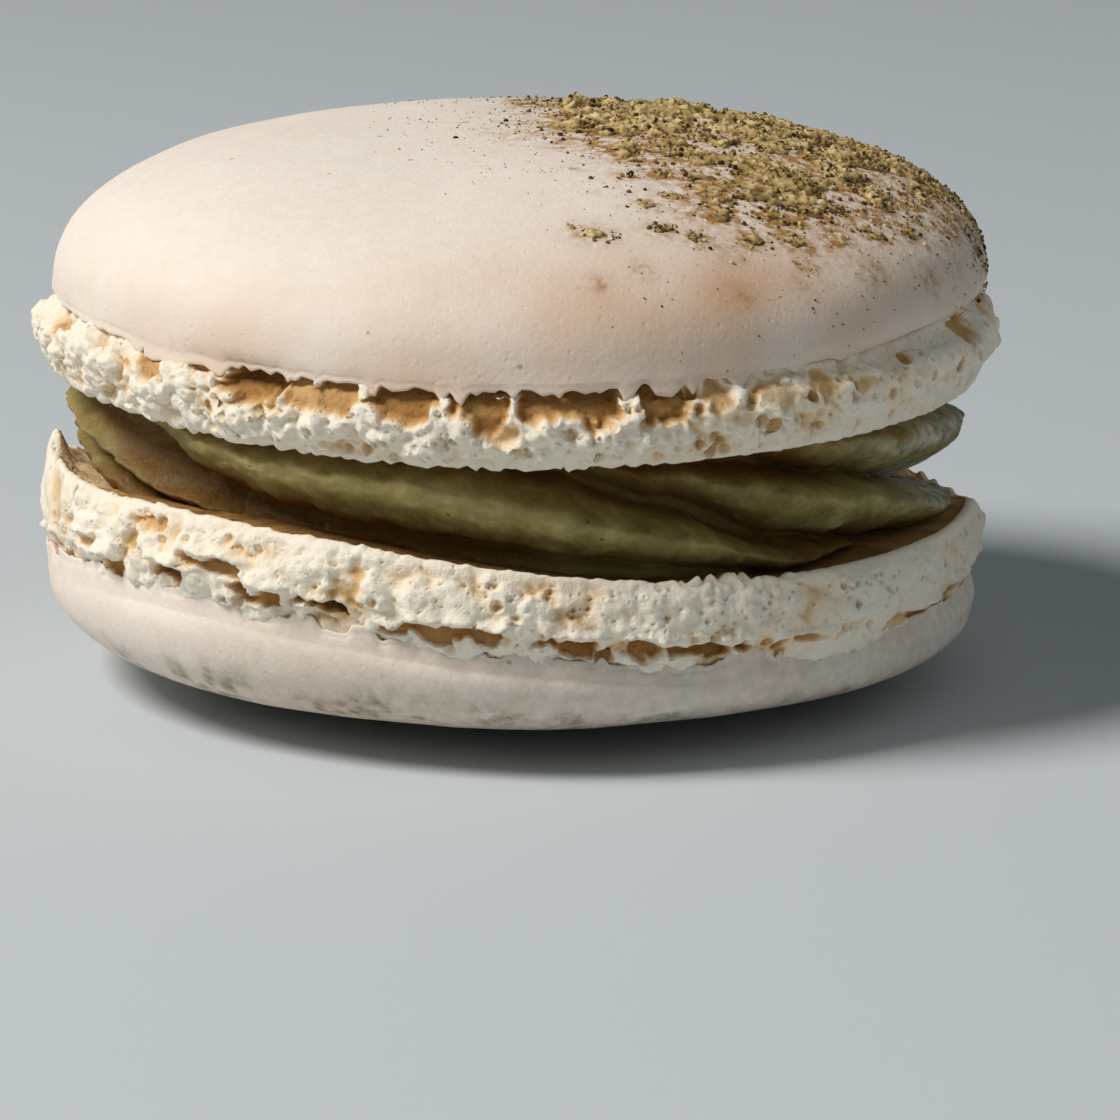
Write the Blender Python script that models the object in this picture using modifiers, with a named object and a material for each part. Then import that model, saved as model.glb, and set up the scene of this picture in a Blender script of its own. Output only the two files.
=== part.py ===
"""French macaron: two baked almond shells with a ruffled foot, and a piped cream filling between them.

Every length is in metres. The macaron stands on its lower shell's crown, whose lowest spot is flat.
Azimuth 0 is the front, -Y, and grows towards +X.
"""

import math

import bpy
from mathutils import Matrix, Vector, noise

MM = 0.001

# Both shells: outline heights are measured from the flat face, along the shell's own axis.
SHELL_STEPS = 96  # divisions round the axis
CROWN_RINGS = 8
CROWN_UNEVENNESS = 0.28 * MM
CROWN_UNEVEN_SCALE = 11.0 * MM
FACE_DISHING = 0.35 * MM  # how far the middle of the flat face is sunk
WARP_ENDS_AT = 0.85  # share of the crown's height where the foot's warp has died out
FOOT_KNOB_DEPTH = 0.84 * MM
FOOT_KNOB_SIZE = 2.3 * MM
HOLLOW_SIZE = 4.2 * MM
SKIN_EDGE_WAVE = 0.60 * MM
SKIN_WAVE_SIZE = 4.6 * MM
SKIN_EDGE_INSET = 0.15 * MM  # of the skin's edge from the widest part of the crown
CREASE_INSET = 0.60 * MM  # of the crease under that edge
CREASE_DROP = 0.30 * MM
FOOT_BACK_WIDTH = 0.65 * MM  # height of the foot's widest band
RIM_ROUNDING = 0.12 * MM
RIM_WIDTH = 0.55 * MM

UPPER_SHELL = {
    "crown_radius": 21.35 * MM,
    "crown_height": 11.0 * MM,
    "crown_spring": 3.95 * MM,  # height of the widest part of the crown
    "side_roundness": 0.84,
    "top_flatness": 0.75,
    "foot_height": 3.40 * MM,
    "foot_radius": 22.20 * MM,
    "foot_widest_at": 2.70 * MM,
    "rim_radius": 21.15 * MM,
    "hollow_depth": 2.00 * MM,
    "offset": 0.15 * MM,  # of its axis, to the right
    "tilt_right": -0.6,  # degrees, right edge down
    "tilt_front": 0.6,  # degrees, front edge down
    "crown_tilt_right": 1.3,  # degrees, right side down, of the crown against its foot
    "crown_tilt_front": 0.0,
    "saddle": -0.48 * MM,  # warp of the face with two high sides
    "three_lobe": -0.25 * MM,  # warp of the face with three high sides
    "three_lobe_at": -15.0,  # degrees, azimuth of its first lobe
}

LOWER_SHELL = {
    "crown_radius": 21.80 * MM,
    "crown_height": 9.05 * MM,
    "crown_spring": 4.70 * MM,
    "side_roundness": 0.80,
    "top_flatness": 0.68,
    "foot_height": 4.05 * MM,
    "foot_radius": 22.15 * MM,
    "foot_widest_at": 1.90 * MM,
    "rim_radius": 21.40 * MM,
    "hollow_depth": 1.30 * MM,
    "offset": -0.35 * MM,
    "tilt_right": 1.9,
    "tilt_front": -2.4,
    "crown_tilt_right": -0.8,
    "crown_tilt_front": 1.2,
    "saddle": -0.67 * MM,
    "three_lobe": -0.29 * MM,
    "three_lobe_at": 13.0,
}

# The stack, from the floor up
REST_SPOT_DEPTH = 0.40 * MM  # how much of the lower crown its weight has pressed flat
LOWER_FACE_HEIGHT = 10.00 * MM
FILLING_HEIGHT = 5.45 * MM  # between the two flat faces, on the axis
TOUCHING_GAP = 0.30 * MM

# Filling: a cream piped through a star nozzle, so its side is a sheaf of slanting ridges
CREAM_RADIUS = 20.0 * MM
CREAM_STEPS = 140
CREAM_ROWS = 13
RIDGE_COUNT = 8
RIDGE_DEPTH = 1.4 * MM
RIDGE_PITCH = 3.0 * MM  # height from one ridge to the next
RIDGE_WANDER = 0.35  # of one ridge, either way
RIDGE_DEPTH_CHANGE = 0.3  # share by which the ridges are deeper on two sides
RIDGE_ROUNDNESS = 0.8  # 1 is round and narrow, less is broader with a sharper valley
CREAM_BULGE = 0.30 * MM


def make_material(name, colour, roughness):
    """A matte food surface."""
    material = bpy.data.materials.new(name)
    material.use_nodes = True
    surface = material.node_tree.nodes["Principled BSDF"]
    surface.inputs["Base Color"].default_value = (*colour, 1.0)
    surface.inputs["Roughness"].default_value = roughness
    surface.inputs["Metallic"].default_value = 0.0
    return material


def azimuth_of(point):
    return math.atan2(point.x, -point.y)


def smooth_between(low, high, value):
    """0 below low, 1 above high, and an even S between them."""
    share = min(max((value - low) / (high - low), 0.0), 1.0)
    return share * share * (3.0 - 2.0 * share)


def turned_mesh(name, profile, steps):
    """The mesh that a profile of (radius, height) points sweeps round the Z axis."""
    mesh = bpy.data.meshes.new(name)
    edges = [(i, i + 1) for i in range(len(profile) - 1)]
    mesh.from_pydata([(radius, 0.0, height) for radius, height in profile], edges, [])
    blank = bpy.data.objects.new(name + "_blank", mesh)
    bpy.context.scene.collection.objects.link(blank)
    screw = blank.modifiers.new("Turn", "SCREW")
    screw.axis = "Z"
    screw.steps = steps
    screw.render_steps = steps
    screw.use_merge_vertices = True
    screw.merge_threshold = 0.00001
    graph = bpy.context.evaluated_depsgraph_get()
    turned = bpy.data.meshes.new_from_object(blank.evaluated_get(graph))
    turned.name = name
    bpy.data.objects.remove(blank)
    bpy.data.meshes.remove(mesh)
    return turned


def shell_profile(size):
    """From the middle of the crown out and down over the skin's edge and the foot, then in along the face."""
    rise = size["crown_height"] - size["crown_spring"]
    profile = []
    for ring in range(CROWN_RINGS + 1):
        angle = math.radians(90.0) * (1.0 - ring / CROWN_RINGS)
        radius = size["crown_radius"] * math.cos(angle) ** size["side_roundness"]
        height = size["crown_spring"] + rise * math.sin(angle) ** size["top_flatness"]
        profile.append((radius if ring else 0.0, height))
    skin_edge = size["foot_height"]
    rim = size["rim_radius"]
    widest = size["foot_radius"]
    widest_at = size["foot_widest_at"]
    profile += [
        (size["crown_radius"] - SKIN_EDGE_INSET, skin_edge),
        (size["crown_radius"] - CREASE_INSET, skin_edge - CREASE_DROP),
        (widest, widest_at + 0.5 * FOOT_BACK_WIDTH),
        (widest, widest_at - 0.5 * FOOT_BACK_WIDTH),
        (rim + 0.35 * (widest - rim), 0.35 * widest_at),
        (rim, RIM_ROUNDING),
        (rim - RIM_WIDTH, 0.0),
        (0.0, FACE_DISHING),
    ]
    return profile


def push_out(point, distance):
    """Moves a point away from the axis, level."""
    flat = Vector((point.x, point.y, 0.0))
    if flat.length > 0.0:
        point += flat.normalized() * distance


def bake_unevenness(mesh, size, seed):
    """The swell of the crown, the wavy skin edge, and the knobs and hollows of the foot."""
    offset = Vector((seed * 7.3, seed * 3.1, seed * 5.9))
    for vertex in mesh.vertices:
        point = vertex.co
        height = point.z
        radius = math.hypot(point.x, point.y)
        swell = noise.noise(point / CROWN_UNEVEN_SCALE + offset)
        knob = noise.noise(point / FOOT_KNOB_SIZE + offset)
        hollow = max(noise.noise(point / HOLLOW_SIZE - offset), 0.0)
        wave = noise.noise(point / SKIN_WAVE_SIZE + offset)

        face_edge = size["rim_radius"] - RIM_WIDTH
        on_crown = smooth_between(size["foot_height"], size["crown_spring"], height)
        on_side = (1.0 - on_crown) * smooth_between(0.9 * face_edge, face_edge, radius)
        on_foot = on_side * smooth_between(0.0, 0.3 * size["foot_height"], height)
        near_skin = smooth_between(0.4 * size["foot_height"], 0.75 * size["foot_height"], height)
        push_out(point, on_foot * (FOOT_KNOB_DEPTH * knob - near_skin * size["hollow_depth"] * hollow))
        point.z += on_side * near_skin * SKIN_EDGE_WAVE * wave
        point.z += on_crown * CROWN_UNEVENNESS * swell


def slope_lift(right_down, front_down, x, y):
    """How far a tilt of these two angles lifts a point at x, y."""
    return math.sin(math.radians(front_down)) * y - math.sin(math.radians(right_down)) * x


def warp_of(size, x, y):
    """How far the flat face is warped up at x, y. It is straight along every radius."""
    azimuth = math.atan2(x, -y)
    saddle = size["saddle"] * math.sin(2.0 * azimuth)
    three_lobe = size["three_lobe"] * math.cos(3.0 * (azimuth - math.radians(size["three_lobe_at"])))
    return (saddle + three_lobe) * math.hypot(x, y) / size["rim_radius"]


def face_lift(size, x, y):
    x -= size["offset"]
    return slope_lift(size["tilt_right"], size["tilt_front"], x, y) + warp_of(size, x, y)


def set_in_place(mesh, size, face_height, turn_over):
    """Tilts the shell, warps its foot, and puts its flat face at its height in the stack."""
    for vertex in mesh.vertices:
        point = vertex.co
        warped = 1.0 - smooth_between(size["foot_height"], WARP_ENDS_AT * size["crown_height"], point.z)
        if turn_over:
            point.z = -point.z
        foot_lift = slope_lift(size["tilt_right"], size["tilt_front"], point.x, point.y)
        crown_lift = slope_lift(size["crown_tilt_right"], size["crown_tilt_front"], point.x, point.y)
        point.z += face_height + foot_lift + warped * warp_of(size, point.x, point.y)
        point.z += (1.0 - warped) * crown_lift
        point.x += size["offset"]
    if turn_over:
        mesh.flip_normals()


def press_flat_spot(mesh):
    """Flattens what the macaron stands on."""
    lowest = min(vertex.co.z for vertex in mesh.vertices)
    for vertex in mesh.vertices:
        vertex.co.z = max(vertex.co.z - lowest - REST_SPOT_DEPTH, 0.0)
    return lowest + REST_SPOT_DEPTH


def add_shell(collection, name, size, face_height, turn_over, seed, material):
    mesh = turned_mesh(name, shell_profile(size), SHELL_STEPS)
    bake_unevenness(mesh, size, seed)
    set_in_place(mesh, size, face_height, turn_over)
    return add_piece(collection, name, mesh, material)


def add_piece(collection, name, mesh, material):
    mesh.materials.append(material)
    mesh.shade_smooth()
    mesh.set_sharp_from_angle(angle=math.radians(55.0))
    piece = bpy.data.objects.new(name, mesh)
    collection.objects.link(piece)
    return piece


def ridge_profile(phase):
    """1 on the round back of a ridge, 0 in the narrow valley beside it. One ridge for each whole phase."""
    return abs(math.sin(math.pi * phase)) ** RIDGE_ROUNDNESS


def along_ridge(azimuth, rise):
    """Where a ridge that passes this azimuth has gone once it is this much higher."""
    return azimuth - math.tau * rise / (RIDGE_COUNT * RIDGE_PITCH)


def cream_radius_at(azimuth, height):
    """The side of the piped cream, with ridges that run down to the right as they go round."""
    turn = azimuth / math.tau
    wander = RIDGE_WANDER * (math.sin(azimuth + 0.7) + 0.5 * math.sin(3.0 * azimuth - 1.1))
    phase = RIDGE_COUNT * turn + wander + height / RIDGE_PITCH
    depth = RIDGE_DEPTH * (1.0 + RIDGE_DEPTH_CHANGE * math.sin(2.0 * azimuth + 0.4))
    return CREAM_RADIUS - depth * (1.0 - ridge_profile(phase))


def add_filling(collection, material):
    profile = [(0.0, 1.0)]
    profile += [(CREAM_RADIUS, 1.0 - row / (CREAM_ROWS - 1)) for row in range(CREAM_ROWS)]
    profile.append((0.0, 0.0))
    mesh = turned_mesh("filling", profile, CREAM_STEPS)
    middle = 0.5 * FILLING_HEIGHT
    for vertex in mesh.vertices:
        point = vertex.co
        level = point.z
        on_side = math.hypot(point.x, point.y) > 0.5 * CREAM_RADIUS
        if on_side:
            height = level * FILLING_HEIGHT
            azimuth = along_ridge(azimuth_of(point), height - middle)
            belly = CREAM_BULGE * (1.0 - ((height - middle) / middle) ** 2)
            radius = cream_radius_at(azimuth, height) + belly
            point.x = radius * math.sin(azimuth)
            point.y = -radius * math.cos(azimuth)
        bottom = LOWER_FACE_HEIGHT + face_lift(LOWER_SHELL, point.x, point.y) + TOUCHING_GAP
        top = LOWER_FACE_HEIGHT + FILLING_HEIGHT + face_lift(UPPER_SHELL, point.x, point.y) - TOUCHING_GAP
        point.z = bottom + level * (top - bottom)
    return add_piece(collection, "filling", mesh, material)


def centre_over_origin(pieces):
    """Moves everything so that the middle of the outer box stands over the origin."""
    corners = [piece.matrix_world @ vertex.co for piece in pieces for vertex in piece.data.vertices]
    middle_x = 0.5 * (min(c.x for c in corners) + max(c.x for c in corners))
    middle_y = 0.5 * (min(c.y for c in corners) + max(c.y for c in corners))
    for piece in pieces:
        piece.data.transform(Matrix.Translation((-middle_x, -middle_y, 0.0)))


def build():
    for obj in list(bpy.data.objects):
        bpy.data.objects.remove(obj, do_unlink=True)
    collection = bpy.data.collections.new("french_macaron")
    bpy.context.scene.collection.children.link(collection)
    shell_material = make_material("baked_almond_shell", (0.80, 0.68, 0.56), 0.70)
    cream_material = make_material("pistachio_cream", (0.19, 0.15, 0.05), 0.50)

    lower = add_shell(collection, "lower_shell", LOWER_SHELL, LOWER_FACE_HEIGHT, True, 2, shell_material)
    filling = add_filling(collection, cream_material)
    upper_height = LOWER_FACE_HEIGHT + FILLING_HEIGHT
    upper = add_shell(collection, "upper_shell", UPPER_SHELL, upper_height, False, 5, shell_material)
    drop = press_flat_spot(lower.data)
    for piece in (filling, upper):
        piece.data.transform(Matrix.Translation((0.0, 0.0, -drop)))
    centre_over_origin([lower, filling, upper])


build()
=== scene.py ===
import math
import random

import bmesh
import bpy
import numpy as np
from mathutils import Euler, Matrix, Vector, kdtree, noise


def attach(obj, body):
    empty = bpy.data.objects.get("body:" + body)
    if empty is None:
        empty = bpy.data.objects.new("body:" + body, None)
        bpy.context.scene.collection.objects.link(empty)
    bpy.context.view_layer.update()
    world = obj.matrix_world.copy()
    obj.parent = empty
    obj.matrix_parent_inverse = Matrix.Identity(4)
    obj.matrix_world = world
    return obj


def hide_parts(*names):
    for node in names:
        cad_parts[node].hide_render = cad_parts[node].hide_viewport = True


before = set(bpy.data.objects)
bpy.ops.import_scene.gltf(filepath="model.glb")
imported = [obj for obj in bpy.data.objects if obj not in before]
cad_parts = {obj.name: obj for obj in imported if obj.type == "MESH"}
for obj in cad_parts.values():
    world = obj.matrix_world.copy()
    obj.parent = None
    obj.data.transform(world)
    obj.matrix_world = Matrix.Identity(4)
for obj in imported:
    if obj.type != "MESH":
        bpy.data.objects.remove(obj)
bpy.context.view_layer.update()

# A French macaron: two baked almond shells with a torn, foamy foot, piped cream between them, and powder on top.
# Shapes are worked out in millimetres and made metres when a piece is finished.
# Azimuth 0 is the front, -Y, and grows towards +X.

mm = 0.001

# The two shells. Heights are measured from the flat face that touches the cream, along the shell's own axis.
upperShell = {
    "faceAt": 14.32,  # height of that face over the floor, in the middle
    "middle": (0.37, -0.05),  # where its axis stands
    "turnedOver": False,
    "seed": 5,
    "crownRadius": 21.43,
    "crownHeight": 11.0,
    "crownSpring": 3.95,  # height of the widest part of the crown
    "sideRoundness": 0.84,
    "topFlatness": 0.79,
    "skinEdge": 3.40,  # height of the skin's lower edge
    "rimRadius": 21.15,
    "tiltRight": -0.6,  # degrees, right edge down
    "tiltFront": 0.6,  # degrees, front edge down
    "crownTiltRight": 0.7,
    "crownTiltFront": 0.0,
    "saddle": -0.48,
    "threeLobe": -0.25,
    "threeLobeAt": -15.0,
}
lowerShell = {
    "faceAt": 8.87,
    "middle": (0.07, -0.05),
    "turnedOver": True,
    "seed": 2,
    "crownRadius": 21.52,
    "crownHeight": 9.05,
    "crownSpring": 4.70,
    "sideRoundness": 0.90,
    "topFlatness": 0.78,
    "skinEdge": 4.05,
    "rimRadius": 21.27,
    "tiltRight": 1.9,
    "tiltFront": -2.4,
    "crownTiltRight": -0.8,
    "crownTiltFront": 1.2,
    "saddle": -0.67,
    "threeLobe": -0.29,
    "threeLobeAt": 13.0,
}
warpEndsAt = 0.85  # share of the crown's height where the warp of the foot has died out
crownSwell = {"depth": 0.28, "size": 11.0}


# ---- shared shaping

def smoothBetween(low, high, value):
    share = np.clip((value - low) / (high - low), 0.0, 1.0)
    return share * share * (3.0 - 2.0 * share)


def azimuthOf(points):
    return np.arctan2(points[:, 0], -points[:, 1])


def arcFrom(azimuth, degrees):  # how far round an azimuth is from another, the short way
    return (azimuth - math.radians(degrees) + math.pi) % math.tau - math.pi


def noiseAt(points, size, seed):
    shift = np.array((seed * 7.3, seed * 3.1, seed * 5.9))
    return np.array([noise.noise(Vector(point)) for point in points / size + shift])


def lumpsAt(points, size, seed):  # 1 on the round back of a lump, 0 in the creases between lumps
    shift = np.array((seed * 2.7, seed * 6.1, seed * 4.3))
    reach = np.array([noise.voronoi(Vector(point))[0][0] for point in points / size + shift])
    return 1.0 - np.clip(reach / 0.85, 0.0, 1.0) ** 2


def evenOutline(corners, spacing):  # a smoothed chain through (radius, height, spacing) corners
    places = np.array(corners, dtype=float)
    run = np.concatenate(([0.0], np.cumsum(np.hypot(*np.diff(places[:, :2], axis=0).T))))
    chain = []
    along = 0.0
    while along < run[-1]:
        chain.append(along)
        along += np.interp(along, run, places[:, 2]) * spacing
    chain = np.array(chain[:-1] + [run[-1]])
    outline = np.stack((np.interp(chain, run, places[:, 0]), np.interp(chain, run, places[:, 1])), axis=1)
    for _ in range(3):
        outline[1:-1] = 0.25 * outline[:-2] + 0.5 * outline[1:-1] + 0.25 * outline[2:]
    return outline


def outwardOf(outline):  # level and upward parts of each row's outward normal
    slope = np.gradient(outline, axis=0)
    slope /= np.linalg.norm(slope, axis=1)[:, None]
    return np.stack((-slope[:, 1], slope[:, 0]), axis=1)


def turnedForm(name, outline, steps, cuts):
    form = bmesh.new()
    rowLayer = form.verts.layers.int.new("row")
    chain = []
    for row, (radius, height) in enumerate(outline):
        vert = form.verts.new((0.0, -radius, height))
        vert[rowLayer] = row
        chain.append(vert)
    edges = [form.edges.new(pair) for pair in zip(chain, chain[1:])]
    bmesh.ops.spin(form, geom=chain + edges, axis=(0, 0, 1), cent=(0, 0, 0), angle=math.tau, steps=steps, use_merge=True)
    bmesh.ops.remove_doubles(form, verts=form.verts, dist=0.0001)  # closes the poles
    rings = [edge for edge in form.edges if edge.verts[0][rowLayer] == edge.verts[1][rowLayer]]
    bmesh.ops.subdivide_edges(form, edges=rings, cuts=cuts, use_grid_fill=True)
    bmesh.ops.triangulate(form, faces=[face for face in form.faces if len(face.verts) > 4])
    bmesh.ops.recalc_face_normals(form, faces=form.faces)
    mesh = bpy.data.meshes.new(name)
    form.to_mesh(mesh)
    form.free()
    return mesh


def readForm(mesh, outline):  # the points of a turned form, put back on true circles, and what each needs to move
    points = np.empty(len(mesh.vertices) * 3)
    mesh.vertices.foreach_get("co", points)
    points = points.reshape(-1, 3)
    rows = np.empty(len(mesh.vertices), dtype=np.int32)
    mesh.attributes["row"].data.foreach_get("value", rows)
    azimuth = azimuthOf(points)
    radius = outline[rows, 0]
    points[:, 0] = radius * np.sin(azimuth)
    points[:, 1] = -radius * np.cos(azimuth)
    outward = outwardOf(outline)[rows]
    normals = np.stack((outward[:, 0] * np.sin(azimuth), -outward[:, 0] * np.cos(azimuth), outward[:, 1]), axis=1)
    return {"points": points, "normals": normals, "azimuth": azimuth, "radius": radius, "height": points[:, 2].copy()}


def slopeLift(rightDown, frontDown, x, y):
    return math.sin(math.radians(frontDown)) * y - math.sin(math.radians(rightDown)) * x


def warpOf(shell, x, y):
    azimuth = np.arctan2(x, -y)
    saddle = shell["saddle"] * np.sin(2.0 * azimuth)
    threeLobe = shell["threeLobe"] * np.cos(3.0 * (azimuth - math.radians(shell["threeLobeAt"])))
    return (saddle + threeLobe) * np.hypot(x, y) / shell["rimRadius"]


def setInPlace(points, shell):  # tilts and warps a shell's points and puts them at their height in the stack
    x, y = points[:, 0].copy(), points[:, 1].copy()
    warped = 1.0 - smoothBetween(shell["skinEdge"], warpEndsAt * shell["crownHeight"], points[:, 2])
    height = -points[:, 2] if shell["turnedOver"] else points[:, 2]
    height = height + shell["faceAt"] + slopeLift(shell["tiltRight"], shell["tiltFront"], x, y)
    height += warped * warpOf(shell, x, y)
    height += (1.0 - warped) * slopeLift(shell["crownTiltRight"], shell["crownTiltFront"], x, y)
    return np.stack((x + shell["middle"][0], y + shell["middle"][1], np.maximum(height, 0.0)), axis=1)


def faceHeightAt(shell, x, y):  # of the flat face over the floor
    x, y = x - shell["middle"][0], y - shell["middle"][1]
    return shell["faceAt"] + slopeLift(shell["tiltRight"], shell["tiltFront"], x, y) + warpOf(shell, x, y)


def keepShade(mesh, name, values):  # a value at each point for the material to read
    layer = mesh.attributes.new(name, "FLOAT", "POINT")
    layer.data.foreach_set("value", np.clip(values, 0.0, 1.0).astype(np.float32))


def finishPiece(mesh, points, material, node, flip=False):
    mesh.vertices.foreach_set("co", (points * mm).ravel())
    if flip:
        mesh.flip_normals()
    mesh.update()
    mesh.shade_smooth()
    mesh.materials.append(material)
    piece = bpy.data.objects.new(mesh.name, mesh)
    bpy.context.scene.collection.objects.link(piece)
    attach(piece, "root")
    if node:
        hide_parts(node)
    return piece


# ---- shared finishes

def tone(red, green, blue):  # a colour as a screen shows it, 0 to 255, made linear
    return tuple(((c / 255.0 + 0.055) / 1.055) ** 2.4 if c > 10 else c / 3294.6 for c in (red, green, blue)) + (1.0,)


def startGroup(name, inputs, outputs):
    group = bpy.data.node_groups.new(name, "ShaderNodeTree")
    for title, value in inputs.items():
        socket = group.interface.new_socket(title, in_out="INPUT", socket_type="NodeSocketFloat")
        socket.default_value = value
    for title in outputs:
        group.interface.new_socket(title, in_out="OUTPUT", socket_type="NodeSocketFloat")
    return group, group.nodes.new("NodeGroupInput"), group.nodes.new("NodeGroupOutput")


def sumNode(tree, operation, first, second, clamp=False):
    node = tree.nodes.new("ShaderNodeMath")
    node.operation = operation
    node.use_clamp = clamp
    for socket, value in zip(node.inputs, (first, second)):
        if isinstance(value, (int, float)):
            socket.default_value = value
        else:
            tree.links.new(value, socket)
    return node.outputs[0]


def makeSpecks():  # small dark dots, one in some of the cells of a random pattern
    group, given, result = startGroup("specks", {"Cells per metre": 900.0, "Dot size": 0.12, "Share": 0.3}, ["Mask"])
    place = group.nodes.new("ShaderNodeTexCoord")
    cells = group.nodes.new("ShaderNodeTexVoronoi")
    group.links.new(place.outputs["Object"], cells.inputs["Vector"])
    group.links.new(given.outputs["Cells per metre"], cells.inputs["Scale"])
    picked = group.nodes.new("ShaderNodeSeparateColor")
    group.links.new(cells.outputs["Color"], picked.inputs[0])
    size = sumNode(group, "MULTIPLY", given.outputs["Dot size"], sumNode(group, "ADD", picked.outputs[1], 0.35))
    inside = sumNode(group, "SUBTRACT", size, cells.outputs["Distance"])
    inside = sumNode(group, "MULTIPLY", inside, 25.0, clamp=True)
    chosen = sumNode(group, "LESS_THAN", picked.outputs[0], given.outputs["Share"])
    group.links.new(sumNode(group, "MULTIPLY", inside, chosen), result.inputs["Mask"])
    return group


def makeMottle():  # soft clouds of lighter and darker tone at two sizes
    group, given, result = startGroup("mottle", {"Clouds per metre": 150.0, "Contrast": 1.0}, ["Mask"])
    place = group.nodes.new("ShaderNodeTexCoord")
    clouds = group.nodes.new("ShaderNodeTexNoise")
    clouds.inputs["Detail"].default_value = 6.0
    clouds.inputs["Roughness"].default_value = 0.62
    group.links.new(place.outputs["Object"], clouds.inputs["Vector"])
    group.links.new(given.outputs["Clouds per metre"], clouds.inputs["Scale"])
    centred = sumNode(group, "SUBTRACT", clouds.outputs[0], 0.5)
    spread = sumNode(group, "MULTIPLY", centred, given.outputs["Contrast"])
    group.links.new(sumNode(group, "ADD", spread, 0.5, clamp=True), result.inputs["Mask"])
    return group


def makeGrain():  # a fine baked surface: tiny grains with a few open pores
    group, given, result = startGroup("grain", {"Grains per metre": 5000.0, "Pores": 0.4}, ["Height"])
    place = group.nodes.new("ShaderNodeTexCoord")
    grains = group.nodes.new("ShaderNodeTexNoise")
    grains.inputs["Detail"].default_value = 5.0
    grains.inputs["Roughness"].default_value = 0.6
    pores = group.nodes.new("ShaderNodeTexVoronoi")
    for texture in (grains, pores):
        group.links.new(place.outputs["Object"], texture.inputs["Vector"])
    group.links.new(given.outputs["Grains per metre"], grains.inputs["Scale"])
    group.links.new(sumNode(group, "MULTIPLY", given.outputs["Grains per metre"], 0.45), pores.inputs["Scale"])
    mouth = sumNode(group, "SUBTRACT", 0.22, pores.outputs["Distance"], clamp=True)
    hollow = sumNode(group, "MULTIPLY", sumNode(group, "MULTIPLY", mouth, 4.0), given.outputs["Pores"])
    group.links.new(sumNode(group, "SUBTRACT", grains.outputs[0], hollow), result.inputs["Height"])
    return group


specks, mottle, grain = makeSpecks(), makeMottle(), makeGrain()


def startFinish(name, roughness, scatter=0.0, scatterDepth=0.0):
    material = bpy.data.materials.new(name)
    material.use_nodes = True
    surface = material.node_tree.nodes["Principled BSDF"]
    surface.inputs["Roughness"].default_value = roughness
    surface.inputs["Specular IOR Level"].default_value = 0.3
    if scatter:
        surface.inputs["Subsurface Weight"].default_value = scatter
        surface.inputs["Subsurface Radius"].default_value = (1.0, 0.62, 0.35)
        surface.inputs["Subsurface Scale"].default_value = scatterDepth * mm
    return material, material.node_tree, surface


def placeGroup(tree, group, **values):
    node = tree.nodes.new("ShaderNodeGroup")
    node.node_tree = group
    for title, value in values.items():
        node.inputs[title.replace("_", " ")].default_value = value
    return node.outputs[0]


def shadeOf(tree, name):
    node = tree.nodes.new("ShaderNodeAttribute")
    node.attribute_name = name
    return node.outputs["Fac"]


def blend(tree, share, below, above):
    node = tree.nodes.new("ShaderNodeMix")
    node.data_type = "RGBA"
    for socket, value in zip((node.inputs[0], node.inputs[6], node.inputs[7]), (share, below, above)):
        if isinstance(value, (tuple, float)):
            socket.default_value = value
        else:
            tree.links.new(value, socket)
    return node.outputs[2]


def ramp(tree, share, stops):
    node = tree.nodes.new("ShaderNodeValToRGB")
    tree.links.new(share, node.inputs[0])
    for index, (at, colour) in enumerate(stops):
        stop = node.color_ramp.elements[index] if index < 2 else node.color_ramp.elements.new(at)
        stop.position = at
        stop.color = colour
    return node.outputs[0]


def giveBump(tree, surface, height, strength, depth):
    bump = tree.nodes.new("ShaderNodeBump")
    bump.inputs["Strength"].default_value = strength
    bump.inputs["Distance"].default_value = depth * mm
    tree.links.new(height, bump.inputs["Height"])
    tree.links.new(bump.outputs[0], surface.inputs["Normal"])


def makeSkinFinish():
    material, tree, surface = startFinish("bakedSkin", 0.72, scatter=0.15, scatterDepth=0.6)
    colour = blend(tree, placeGroup(tree, mottle, Clouds_per_metre=110.0, Contrast=1.6), tone(242, 228, 214), tone(250, 240, 229))
    fleck = placeGroup(tree, mottle, Clouds_per_metre=1300.0, Contrast=2.2)
    colour = blend(tree, sumNode(tree, "MULTIPLY", fleck, 0.22), colour, tone(214, 190, 164))
    # Pink blush, and painted warm shade over the crown's low front band.
    colour = blend(tree, shadeOf(tree, "blushAndWarmShade"), colour, tone(216, 176, 142))
    stain = sumNode(tree, "MULTIPLY", shadeOf(tree, "dust"), placeGroup(tree, mottle, Clouds_per_metre=2200.0, Contrast=3.4))
    colour = blend(tree, sumNode(tree, "MULTIPLY", stain, 2.1, clamp=True), colour, tone(172, 126, 68))
    # Olive smudges low at the front, with painted shade: an even olive darkening of the low front band and of the front
    # right side.
    smudgeAndPaintedShade = sumNode(tree, "MULTIPLY", shadeOf(tree, "smudgeAndPaintedShade"), placeGroup(tree, mottle, Clouds_per_metre=1500.0, Contrast=2.0))
    colour = blend(tree, smudgeAndPaintedShade, colour, tone(104, 94, 38))
    fine = placeGroup(tree, specks, Cells_per_metre=620.0, Dot_size=0.085, Share=0.35)
    colour = blend(tree, sumNode(tree, "MULTIPLY", fine, 0.55), colour, tone(120, 92, 62))
    tree.links.new(colour, surface.inputs["Base Color"])
    giveBump(tree, surface, placeGroup(tree, grain, Grains_per_metre=3600.0, Pores=0.7), 0.6, 0.06)
    return material


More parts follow.
